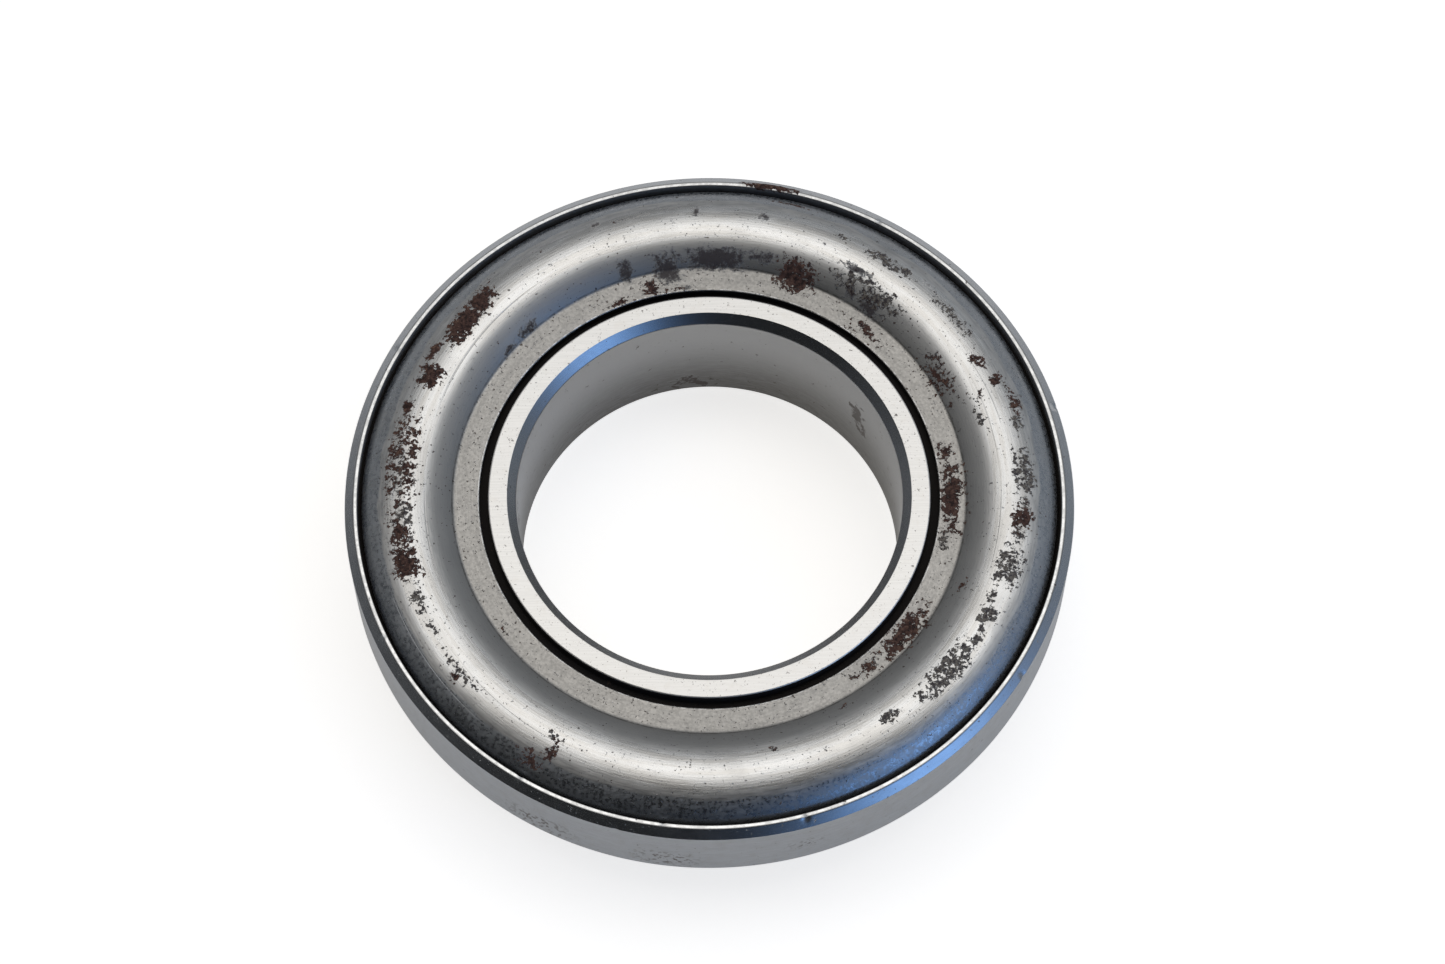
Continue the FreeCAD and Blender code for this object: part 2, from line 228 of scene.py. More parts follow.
def rounded_outline(corners):
    """Points of a closed outline. Each corner is (radius, height, rounding radius)."""
    spots = np.array([c[:2] for c in corners], float)
    points = []
    for i, (_, _, rounding) in enumerate(corners):
        back = unit(spots[i - 1] - spots[i])
        ahead = unit(spots[(i + 1) % len(spots)] - spots[i])
        half = math.acos(np.clip(back @ ahead, -1, 1)) / 2
        setback = rounding / math.tan(half)
        centre = spots[i] + unit(back + ahead) * rounding / math.sin(half)
        start = angle_of(spots[i] + back * setback - centre)
        turn = angle_of(spots[i] + ahead * setback - centre) - start
        turn = (turn + math.pi) % (2 * math.pi) - math.pi
        points.append(arc(centre, rounding, start, start + turn))
    return fill_straights(np.vstack(points))


def on_roller_axis(along, out):
    """(radius, height) of a place given by its distance from the apex and its distance square to the axis."""
    radius = along * math.sin(TILT) + out * math.cos(TILT)
    height = APEX_HEIGHT + along * math.cos(TILT) - out * math.sin(TILT)
    return radius, height


def height_across(along, radius):
    out = (radius - along * math.sin(TILT)) / math.cos(TILT)
    return on_roller_axis(along, out)[1]


def cup_radius(height):
    return (height - APEX_HEIGHT) * math.tan(TILT + ROLLER_HALF_ANGLE)


def cone_radius(height):
    return (height - APEX_HEIGHT) * math.tan(TILT - ROLLER_HALF_ANGLE)


def outer_ring_outline():
    shoulder = RIM_TOP - SHIELD_SEAT_DEPTH
    ledge = RIM_TOP - GAP_DEPTH
    lead_in = RIM_INNER_RADIUS - SHIELD_SEAT_RADIUS
    return rounded_outline([
        (RIM_INNER_RADIUS, RIM_TOP, 0.05),
        (OUTER_RADIUS - RIM_CHAMFER_RADIAL, RIM_TOP, 0.05),
        (OUTER_RADIUS, RIM_TOP - RIM_CHAMFER_AXIAL, 0.15),
        (OUTER_RADIUS, OUTER_BACK, BACK_CORNER_RADIUS),
        (cup_radius(OUTER_BACK) + RACEWAY_EDGE, OUTER_BACK, BREAK),
        (cup_radius(OUTER_BACK + RACEWAY_EDGE), OUTER_BACK + RACEWAY_EDGE, BREAK),
        (cup_radius(shoulder), shoulder, 0.2),
        (SHIELD_SEAT_RADIUS, shoulder, BREAK),
        (SHIELD_SEAT_RADIUS, ledge - lead_in, BREAK),
        (RIM_INNER_RADIUS, ledge, BREAK),
    ])


def inner_ring_outline():
    rib_top = INNER_TOP - RIB_TOP_DEPTH
    big_along = ALONG_LARGE + RUNNING_CLEARANCE
    big_foot_out = -big_along * math.tan(ROLLER_HALF_ANGLE)
    big_relief = on_roller_axis(big_along, big_foot_out - RELIEF_DEPTH)
    big_relief_end = on_roller_axis(big_along, big_foot_out)[1] - RELIEF_WIDTH
    small_along = ALONG_SMALL - SMALL_RIB_CLEARANCE
    small_foot_out = -small_along * math.tan(ROLLER_HALF_ANGLE)
    small_relief = on_roller_axis(small_along, small_foot_out - RELIEF_DEPTH)
    small_relief_end = on_roller_axis(small_along, small_foot_out)[1] + RELIEF_WIDTH
    small_rib_top = height_across(small_along, SMALL_RIB_RADIUS)
    small_rib_base = small_rib_top - SMALL_RIB_WIDTH
    return rounded_outline([
        (BORE_RADIUS, INNER_TOP - BORE_CHAMFER, 0.3),
        (BORE_RADIUS + BORE_CHAMFER, INNER_TOP, BREAK),
        (NOSE_RADIUS, INNER_TOP, 0.2),
        (NOSE_RADIUS, rib_top, 0.3),
        (RIB_RADIUS, rib_top, 0.35),
        (RIB_RADIUS, height_across(big_along, RIB_RADIUS), 0.15),
        (*big_relief, BREAK),
        (cone_radius(big_relief_end) - RELIEF_DEPTH, big_relief_end + RELIEF_DEPTH, BREAK),
        (cone_radius(big_relief_end), big_relief_end, BREAK),
        (cone_radius(small_relief_end), small_relief_end, BREAK),
        (cone_radius(small_relief_end) - RELIEF_DEPTH, small_relief_end - RELIEF_DEPTH, BREAK),
        (*small_relief, BREAK),
        (SMALL_RIB_RADIUS, small_rib_top, 0.2),
        (SMALL_RIB_RADIUS, small_rib_base, 0.2),
        (SLEEVE_RADIUS, small_rib_base, 0.3),
        (SLEEVE_RADIUS, 0, 1.0),
        (BORE_RADIUS + BASE_CHAMFER, 0, BREAK),
        (BORE_RADIUS, BASE_CHAMFER, BREAK),
    ])


def shield_outline():
    """The outer face from the land's inner edge to the skirt's foot, then the inner face back."""
    dome = np.array([CREST_RADIUS, CREST_TOP - DOME_RADIUS])
    fillet_rise = LAND_TOP + LAND_FILLET - dome[1]
    fillet_run = math.sqrt((DOME_RADIUS + LAND_FILLET) ** 2 - fillet_rise ** 2)
    fillet = dome + [-fillet_run, fillet_rise]
    bend_run = SHIELD_SEAT_RADIUS - SKIRT_BEND_RADIUS - CREST_RADIUS
    bend = dome + [bend_run, math.sqrt((DOME_RADIUS - SKIRT_BEND_RADIUS) ** 2 - bend_run ** 2)]
    rise_angle = angle_of(fillet - dome)
    fall_angle = angle_of(bend - dome)
    down = -math.pi / 2

    def face(depth):
        return [
            arc(fillet, LAND_FILLET + depth, down, rise_angle - math.pi),
            arc(dome, DOME_RADIUS - depth, rise_angle, fall_angle),
            arc(bend, SKIRT_BEND_RADIUS - depth, fall_angle, 0),
        ]

    def edge(radius, height, start, end):
        return arc((radius, height), LAND_EDGE, start, end)

    bottom = LAND_TOP - SHEET + LAND_EDGE
    foot = SKIRT_FOOT + LAND_EDGE
    top_edge = edge(LAND_INNER_RADIUS + LAND_EDGE, LAND_TOP - LAND_EDGE, math.pi, math.pi / 2)
    bottom_edge = edge(LAND_INNER_RADIUS + LAND_EDGE, bottom, down, -math.pi)
    foot_outer = edge(SHIELD_SEAT_RADIUS - LAND_EDGE, foot, 0, down)
    foot_inner = edge(SHIELD_SEAT_RADIUS - SHEET + LAND_EDGE, foot, down, -math.pi)
    inner_face = [part[::-1] for part in reversed(face(SHEET))]
    return fill_straights(np.vstack([top_edge, *face(0), foot_outer, foot_inner, *inner_face, bottom_edge]))


def roller_outline():
    """Half outline of a roller standing on the Z axis about its middle, with a dimple in each end."""
    small = ALONG_SMALL * math.tan(ROLLER_HALF_ANGLE) - RUNNING_CLEARANCE
    large = ALONG_LARGE * math.tan(ROLLER_HALF_ANGLE) - RUNNING_CLEARANCE
    half = ROLLER_LENGTH / 2
    dimple = 0.45 * small
    corner = ROLLER_CORNER_RADIUS
    quarter = math.pi / 2
    return np.vstack([
        [[0, -half + DIMPLE_DEPTH], [dimple - DIMPLE_DEPTH, -half + DIMPLE_DEPTH], [dimple, -half]],
        arc((small - corner, -half + corner), corner, -quarter, 0),
        arc((large - corner, half - corner), corner, 0, quarter),
        [[dimple, half], [dimple - DIMPLE_DEPTH, half - DIMPLE_DEPTH], [0, half - DIMPLE_DEPTH]],
    ])


# ---- Turned meshes
def turned_mesh(name, outline, segments):
    """Turns an outline about Z. A closed one gives a ring; one that starts and ends on the axis, a body."""
    solid = outline[0][0] == 0
    turned = outline[1:-1] if solid else outline
    rings = len(turned)
    angles = np.arange(segments)[:, None] * (2 * math.pi / segments)
    spots = [np.cos(angles) * turned[:, 0], np.sin(angles) * turned[:, 0], turned[:, 1]]
    positions = np.stack(np.broadcast_arrays(*spots), axis=-1).reshape(-1, 3)
    i = np.arange(segments)[:, None]
    j = np.arange(rings - 1 if solid else rings)[None, :]
    i_next, j_next = (i + 1) % segments, (j + 1) % rings
    loops = [i * rings + j, i_next * rings + j, i_next * rings + j_next, i * rings + j_next]
    faces = np.stack(np.broadcast_arrays(*loops), axis=-1).reshape(-1, 4).tolist()
    if solid:
        bottom, top = len(positions), len(positions) + 1
        poles = [(0, 0, outline[0][1]), (0, 0, outline[-1][1])]
        positions = np.vstack([positions, poles])
        for here in range(segments):
            after = (here + 1) % segments
            faces.append((bottom, after * rings, here * rings))
            faces.append((top, here * rings + rings - 1, after * rings + rings - 1))
    radius, height = outline[:, 0], outline[:, 1]
    if np.sum(radius * np.roll(height, -1) - np.roll(radius, -1) * height) < 0:
        faces = [face[::-1] for face in faces]
    mesh = bpy.data.meshes.new(name)
    mesh.from_pydata((positions * MM).tolist(), [], faces)
    mesh.polygons.foreach_set("use_smooth", np.ones(len(mesh.polygons), bool))
    mesh.update()
    return mesh


def add_piece(name, mesh, material, body, node):
    piece = bpy.data.objects.new(name, mesh)
    bpy.context.scene.collection.objects.link(piece)
    mesh.materials.append(material)
    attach(piece, body)
    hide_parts(node)


# ---- Wear worked out on the meshes
def coordinates(mesh):
    """Vertex positions in millimetres."""
    positions = np.empty(len(mesh.vertices) * 3, np.float32)
    mesh.vertices.foreach_get("co", positions)
    return positions.reshape(-1, 3).astype(float) / MM


def polar(mesh):
    """Azimuth in degrees, radius and height of each vertex."""
    x, y, z = coordinates(mesh).T
    return np.degrees(np.arctan2(y, x)), np.hypot(x, y), z


def patch_field(azimuth, across, patches):
    """Depth inside the nearest patch: 0 well outside, 0.5 on the edge, above 1 in a strong one's middle."""
    field = np.zeros(len(azimuth))
    for start, end, low, high, strength in patches:
        turn = (azimuth - (start + end) / 2 + 180) % 360 - 180
        along, over = np.abs(turn) / (end - start), np.abs(across - (low + high) / 2) / (high - low)
        reach = 2 * (along ** 3 + over ** 3) ** (1 / 3)
        field = np.maximum(field, strength * np.clip(1.3 - 0.8 * reach, 0, 1.1))
    return field


def noise_at(mesh, size, seed):
    """Smooth noise from -1 to 1 at each vertex, with features of about the given size in millimetres."""
    offset = Vector((seed * 7.3, seed * 3.1, seed * 5.7))
    return np.array([noise.noise(Vector(place / size) + offset) for place in coordinates(mesh)])


def set_attribute(mesh, name, values):
    attribute = mesh.attributes.new(name, "FLOAT", "POINT")
    attribute.data.foreach_set("value", np.asarray(values, np.float32))


def normals_of(mesh):
    normals = np.empty(len(mesh.vertices) * 3, np.float32)
    mesh.vertices.foreach_get("normal", normals)
    return normals.reshape(-1, 3)


def push_along_normals(mesh, amounts):
    """Moves each vertex along its normal by an amount in millimetres."""
    moved = coordinates(mesh) + normals_of(mesh) * np.asarray(amounts)[:, None]
    mesh.vertices.foreach_set("co", (moved * MM).astype(np.float32).ravel())
    mesh.update()


def nick_depths(mesh, nicks):
    """How far each vertex lies inside a nick, in millimetres."""
    places = coordinates(mesh)
    depths = np.zeros(len(places))
    for azimuth, radius, height, size, depth in nicks:
        turn = math.radians(azimuth)
        centre = (radius * math.cos(turn), radius * math.sin(turn), height)
        away = np.linalg.norm(places - centre, axis=1) / size
        depths = np.maximum(depths, depth * np.clip(1 - away ** 2, 0, 1))
    return depths


# ---- Materials
class Graph:
    """The node tree of a material or a world. An input may be a number, a colour or another node's output."""

    def __init__(self, owner):
        self.owner = owner
        owner.use_nodes = True
        self.tree = owner.node_tree
        self.tree.nodes.clear()

    def feed(self, socket, value):
        if isinstance(value, bpy.types.NodeSocket):
            self.tree.links.new(value, socket)
        elif value is not None:
            socket.default_value = value

    def add(self, kind, inputs=None, **settings):
        node = self.tree.nodes.new(kind)
        for key, value in settings.items():
            setattr(node, key, value)
        for key, value in (inputs or {}).items():
            self.feed(node.inputs[key], value)
        return node

    def math(self, operation, a, b=None):
        inputs = {i: v for i, v in enumerate((a, b)) if v is not None}
        return self.add("ShaderNodeMath", inputs, operation=operation).outputs[0]

    def times(self, a, b):
        return self.math("MULTIPLY", a, b)

    def plus(self, a, b):
        return self.math("ADD", a, b)

    def vector(self, operation, a, b=None):
        inputs = {i: v for i, v in enumerate((a, b)) if v is not None}
        return self.add("ShaderNodeVectorMath", inputs, operation=operation)

    def step(self, value, low, high, to_low=0.0, to_high=1.0):
        """Smooth ramp from one value to another."""
        inputs = {0: value, 1: low, 2: high, 3: to_low, 4: to_high}
        return self.add("ShaderNodeMapRange", inputs, interpolation_type="SMOOTHSTEP").outputs[0]

    def band(self, value, low, high, soft):
        """1 between low and high, falling to 0 over a soft edge outside."""
        return self.times(self.step(value, low - soft, low), self.step(value, high, high + soft, 1.0, 0.0))

    def blend(self, share, a, b):
        """Mix of two colours, or of two numbers. The node has its own pair of inputs for each."""
        is_colour = any(isinstance(x, tuple) or getattr(x, "type", "") == "RGBA" for x in (a, b))
        if is_colour:
            return self.add("ShaderNodeMix", {0: share, 6: a, 7: b}, data_type="RGBA").outputs[2]
        return self.add("ShaderNodeMix", {0: share, 2: a, 3: b}, data_type="FLOAT").outputs[0]

    def noise(self, vector, scale, detail=2.0, roughness=0.5):
        inputs = {"Vector": vector, "Scale": scale, "Detail": detail, "Roughness": roughness}
        return self.add("ShaderNodeTexNoise", inputs).outputs["Fac"]

    def centred(self, texture, reach):
        """A noise moved to lie about 0, and stretched to about plus or minus the reach."""
        return self.times(self.math("SUBTRACT", texture, 0.5), 4 * reach)

    def ragged(self, field, texture, reach):
        """1 inside a field's 0.5 line, once the texture has made the line ragged."""
        return self.step(self.plus(field, self.centred(texture, reach)), 0.46, 0.54)

    def specks(self, vector, scale, rarity):
        """Small uneven specks, 1 inside and 0 outside. A higher rarity, up to about 0.75, leaves fewer."""
        grain = self.math("SUBTRACT", self.noise(vector, scale, 2.0, 0.6), rarity)
        return self.step(grain, 0.0, 0.03)

    def attribute(self, name):
        return self.add("ShaderNodeAttribute", attribute_name=name).outputs["Fac"]

    def finish(self, colour, roughness, metallic, bump, bump_mm=0.02, anisotropic=0.0):
        """Steel with its brushing round the Z axis."""
        normal = self.add("ShaderNodeBump", {"Height": bump, "Distance": bump_mm * MM, "Strength": 1.0})
        tangent = self.add("ShaderNodeTangent", direction_type="RADIAL", axis="Z")
        shader = self.add("ShaderNodeBsdfPrincipled", {
            "Base Color": colour, "Roughness": roughness, "Metallic": metallic, "Normal": normal.outputs[0],
            "Anisotropic": anisotropic, "Anisotropic Rotation": 0.25, "Tangent": tangent.outputs[0],
            "Specular IOR Level": 0.15,
        })
        output = self.add("ShaderNodeOutputMaterial")
        self.tree.links.new(shader.outputs[0], output.inputs[0])
        return self.owner


def axis_space(g):
    """Position in mm, radius, height, and a stretched position whose noise makes streaks round the axis."""
    position = g.add("ShaderNodeTexCoord").outputs["Object"]
    position = g.add("ShaderNodeVectorMath", {0: position, 3: 1 / MM}, operation="SCALE").outputs[0]
    parts = g.add("ShaderNodeSeparateXYZ", {0: position})
    flat = g.add("ShaderNodeCombineXYZ", {0: parts.outputs[0], 1: parts.outputs[1]})
    radius = g.vector("LENGTH", flat.outputs[0]).outputs["Value"]
    heading = g.add("ShaderNodeSeparateXYZ", {0: g.vector("NORMALIZE", flat.outputs[0]).outputs[0]})
    streaks = g.add("ShaderNodeCombineXYZ", {
        0: g.times(heading.outputs[0], 2.5),
        1: g.times(heading.outputs[1], 2.5),
        2: g.plus(radius, parts.outputs[2]),
    }).outputs[0]
    return position, radius, parts.outputs[2], streaks


def scratch(g, position, centre_x, centre_y, radius, azimuth, half_width, strength):
    """A thin arc that fades towards its ends."""
    across = g.vector("SUBTRACT", position, (centre_x, centre_y, 0.0)).outputs[0]
    flat = g.vector("MULTIPLY", across, (1.0, 1.0, 0.0)).outputs[0]
    away = g.math("ABSOLUTE", g.math("SUBTRACT", g.vector("LENGTH", flat).outputs["Value"], radius))
    turn = math.radians(azimuth)
    facing = g.vector("NORMALIZE", flat).outputs[0]
    facing = g.vector("DOT_PRODUCT", facing, (math.cos(turn), math.sin(turn), 0.0)).outputs["Value"]
    reach = g.step(facing, math.cos(math.radians(half_width)), 1.0)
    return g.times(g.step(away, 0.02, 0.07, strength, 0.0), reach)


def grey(value, warm=0.0):
    """A grey, warmer for a positive second value and bluer for a negative one."""
    return (value * (1 + warm), value, value * (1 - 1.4 * warm), 1.0)


RUST_DARK = (0.042, 0.027, 0.024, 1.0)
RUST_MID = (0.108, 0.060, 0.049, 1.0)
RUST_WARM = (0.22, 0.135, 0.098, 1.0)
# Near-black painted shade, put in the deep gaps and the groove where only shade falls.
PAINTED_GAP_SHADE = (0.030, 0.026, 0.024, 1.0)
BROWN_DIRT = (0.085, 0.062, 0.048, 1.0)
PALE_DIRT = (0.22, 0.19, 0.155, 1.0)
SMOKE = (0.046, 0.033, 0.034, 1.0)


def rust_colour(g, position):
    tone = g.noise(position, 2.3, 5.0, 0.70)
    deep = g.blend(g.step(tone, 0.40, 0.54), RUST_DARK, RUST_MID)
    return g.blend(g.step(tone, 0.54, 0.68), deep, RUST_WARM)


def shield_textures(g):
    """Places and noises that the shield's colour, roughness and bump share."""
    position, radius, height, streaks = axis_space(g)
    lace = g.noise(position, 1.15, 6.0, 0.70)
    fine_lace = g.noise(position, 2.6, 4.0, 0.65)
    return SimpleNamespace(
        position=position,
        radius=radius,
        height=height,
        brushing=g.noise(streaks, 6.0, 3.0, 0.7),
        hairlines=g.noise(streaks, 16.0, 2.0, 0.6),
        bands=g.noise(streaks, 1.5, 3.0, 0.6),
        cloud=g.noise(position, 0.16, 3.0, 0.55),
        mottle=g.noise(position, 0.9, 5.0, 0.65),
        lace=lace,
        fine_lace=fine_lace,
        edges=g.blend(0.4, lace, fine_lace),
    )


def shield_zones(g, t):
    """The flat land, the rough inner slope, the track polished by wear, and the dull slope outside it."""
    wandering = g.plus(t.radius, g.times(g.math("SUBTRACT", t.cloud, 0.5), 1.6))
    return SimpleNamespace(
        land=g.step(t.radius, LAND_END - 0.15, LAND_END + 0.05, 1.0, 0.0),
        inner_slope=g.band(t.radius, LAND_END + 0.1, 31.6, 1.6),
        track=g.band(wandering, 33.4, 36.9, 1.3),
        dull=g.step(wandering, WORN_LIMIT - 0.12, WORN_LIMIT + 0.12),
    )


def shield_bare_colour(g, t, zones):
    """The sheet before rust, stains and dirt, with a painted shade line in the fillet crease and a painted
    highlight on the land's inner lip.
    """
    polished = g.blend(g.step(t.bands, 0.40, 0.60), grey(0.60, 0.03), grey(0.74, 0.01))
    steel = g.blend(g.step(t.brushing, 0.34, 0.66), grey(0.47, 0.01), grey(0.61, 0.02))
    steel = g.blend(g.times(zones.track, 0.8), steel, polished)
    steel = g.blend(g.times(zones.dull, 0.75), steel, grey(0.42, -0.05))
    steel = g.blend(g.times(zones.inner_slope, 0.75), steel, grey(0.30, 0.01))
    steel = g.blend(g.times(g.step(t.cloud, 0.48, 0.70), 0.30), steel, grey(0.42, 0.02))
    land = g.blend(g.step(t.fine_lace, 0.36, 0.64), grey(0.40, 0.045), grey(0.52, 0.045))
    steel = g.blend(zones.land, steel, land)
    # Painted shade: a thin dark line along the fillet crease where the dome meets the land.
    fillet_shade = g.band(t.radius, LAND_END - 0.02, LAND_END + 0.12, 0.06)
    fillet_shade = g.times(fillet_shade, g.step(t.mottle, 0.4, 0.6, 0.25, 0.7))
    steel = g.blend(fillet_shade, steel, grey(0.16, 0.05))
    # Painted highlight: a thin bright line on the land's rounded inner lip.
    lip_highlight = g.band(t.radius, LAND_INNER_RADIUS + 0.05, LAND_INNER_RADIUS + 0.16, 0.03)
    lip_highlight = g.times(g.times(lip_highlight, zones.land), g.step(t.lace, 0.45, 0.55))
    return g.blend(lip_highlight, steel, grey(0.85, 0.02))


def shield_marks(g, t, zones):
    """Masks of everything that lies on the sheet or is cut into it, and of the painted shade on the land's cut
    edge in the gap.
    """
    dots = g.specks(t.position, 1.9, 0.70)
    small_dots = g.specks(t.position, 3.3, g.blend(zones.land, 0.68, 0.655))
    small_dots = g.times(small_dots, g.step(t.mottle, 0.42, 0.54))
    small_dots = g.times(small_dots, g.blend(zones.dull, 1.0, 0.35))
    scratches = 0.0
    for values in SCRATCHES:
        scratches = g.math("MAXIMUM", scratches, scratch(g, t.position, *values))
    speckle = g.attribute("speckle")
    stain = g.plus(g.attribute("stain"), g.centred(t.edges, 0.75))
    return SimpleNamespace(
        pits=g.math("MAXIMUM", dots, small_dots),
        scratches=scratches,
        haze=g.times(g.step(speckle, 0.3, 0.9), 0.35),
        speckle=g.ragged(g.math("MINIMUM", speckle, 0.56), t.edges, 0.80),
        stain=g.step(stain, 0.25, 0.80),
        rust=g.ragged(g.attribute("rust"), t.edges, 0.85),
        # Painted shade: the land's inner cut edge, down in the gap, is coloured near black.
        cut_edge_shade=g.times(
            g.step(t.radius, LAND_INNER_RADIUS + 0.02, LAND_INNER_RADIUS + 0.10, 1.0, 0.0),
            g.step(t.height, LAND_TOP - 0.14, LAND_TOP - 0.08, 1.0, 0.0),
        ),
    )


def shield_steel():
    """Pressed sheet, polished by wear on the crest, dull beside it, with rust, stains, pits and scratches, painted
    shade in the fillet crease and on the cut edge in the gap, and a painted highlight on the land's inner lip.
    """
    g = Graph(bpy.data.materials.new("shield_steel"))
    t = shield_textures(g)
    zones = shield_zones(g, t)
    marks = shield_marks(g, t, zones)

    grit = g.blend(g.step(g.noise(t.position, 3.0, 3.0, 0.6), 0.42, 0.60), SMOKE, PALE_DIRT)
    colour = g.blend(marks.haze, shield_bare_colour(g, t, zones), grey(0.30, 0.03))
    colour = g.blend(g.times(marks.pits, 0.85), colour, BROWN_DIRT)
    colour = g.blend(g.times(marks.scratches, 0.5), colour, grey(0.25, 0.02))
    colour = g.blend(g.times(marks.stain, 0.85), colour, SMOKE)
    colour = g.blend(g.times(marks.speckle, 0.9), colour, grit)
    colour = g.blend(marks.rust, colour, rust_colour(g, t.position))
    # Painted shade on the cut edge in the gap.
    colour = g.blend(marks.cut_edge_shade, colour, PAINTED_GAP_SHADE)
    covered = g.times(g.math("MAXIMUM", marks.stain, marks.speckle), 0.9)
    covered = g.math("MAXIMUM", covered, g.math("MAXIMUM", marks.rust, marks.cut_edge_shade))

    roughness = g.blend(zones.track, 0.36, 0.24)
    roughness = g.blend(zones.dull, roughness, g.step(t.fine_lace, 0.42, 0.62, 0.42, 0.24))
    roughness = g.blend(zones.inner_slope, roughness, 0.50)
    roughness = g.blend(zones.land, roughness, 0.46)
    roughness = g.plus(roughness, g.plus(g.centred(t.brushing, 0.05), g.centred(t.bands, 0.05)))
    roughness = g.blend(covered, roughness, 0.9)
    metallic = g.blend(covered, 1.0, 0.0)
    bump = g.plus(g.times(t.hairlines, 0.34), g.times(t.mottle, 0.10))
    bump = g.math("SUBTRACT", bump, g.math("MAXIMUM", marks.pits, g.times(marks.scratches, 0.8)))
    bump = g.plus(bump, g.times(covered, g.times(t.fine_lace, 2.5)))
    return g.finish(colour, roughness, metallic, bump, 0.03, 0.40)


def outer_ring_steel():
    """Ground wall, bright rim land, painted shade down the groove inside, with grime and a little rust."""
    g = Graph(bpy.data.materials.new("outer_ring_steel"))
    position, radius, height, streaks = axis_space(g)
    brushing = g.noise(streaks, 7.0, 3.0, 0.7)
    mottle = g.noise(position, 0.7, 4.0, 0.6)
    lace = g.noise(position, 1.2, 6.0, 0.7)
    rim = g.step(height, RIM_TOP - 0.10, RIM_TOP - 0.04)
    chamfer = g.band(height, RIM_TOP - RIM_CHAMFER_AXIAL, RIM_TOP - 0.1, 0.05)

    steel = g.blend(g.step(brushing, 0.3, 0.7), grey(0.42, -0.025), grey(0.52, -0.025))
    steel = g.blend(g.times(g.step(mottle, 0.45, 0.7), 0.3), steel, grey(0.36, 0.03))
    steel = g.blend(chamfer, steel, grey(0.55, -0.02))
    rim_steel = g.blend(g.step(lace, 0.42, 0.58), grey(0.68, 0.01), grey(0.92, 0.01))
    rim_land = g.band(radius, RIM_INNER_RADIUS + 0.10, RIM_INNER_RADIUS + 0.34, 0.04)
    steel = g.blend(rim, steel, g.blend(rim_land, grey(0.30), rim_steel))
    # Painted shade down the groove's inner wall: near black deep down, dark grey near the top.
    inside = g.step(radius, RIM_INNER_RADIUS - 0.02, RIM_INNER_RADIUS + 0.03, 1.0, 0.0)
    inside = g.times(inside, g.step(height, RIM_TOP - GAP_DEPTH - 1.0, RIM_TOP - GAP_DEPTH - 0.5))
    groove_shade_colour = g.blend(g.step(height, RIM_TOP - 0.9, RIM_TOP - 0.3), PAINTED_GAP_SHADE, grey(0.12, 0.02))
    steel = g.blend(inside, steel, groove_shade_colour)

    rust = g.ragged(g.attribute("rust"), lace, 0.45)
    grime = g.times(g.step(g.attribute("grime"), 0.1, 0.6), g.specks(position, 1.7, 0.55))
    specks = g.math("MAXIMUM", g.specks(position, 1.6, 0.71), g.specks(position, 3.3, 0.72))
    colour = g.blend(g.math("MAXIMUM", g.times(specks, 0.75), g.times(grime, 0.85)), steel, BROWN_DIRT)
    colour = g.blend(rust, colour, rust_colour(g, position))
    roughness = g.blend(rim, 0.36, 0.32)
    roughness = g.blend(chamfer, roughness, 0.24)
    roughness = g.plus(roughness, g.centred(brushing, 0.04))
    roughness = g.blend(rust, g.blend(inside, roughness, 0.8), 0.85)
    metallic = g.blend(g.math("MAXIMUM", rust, inside), 1.0, 0.1)
    bump = g.plus(g.times(brushing, 0.20), g.times(mottle, 0.08))
    bump = g.math("SUBTRACT", bump, specks)
    return g.finish(colour, roughness, metallic, bump, 0.03, 0.35)


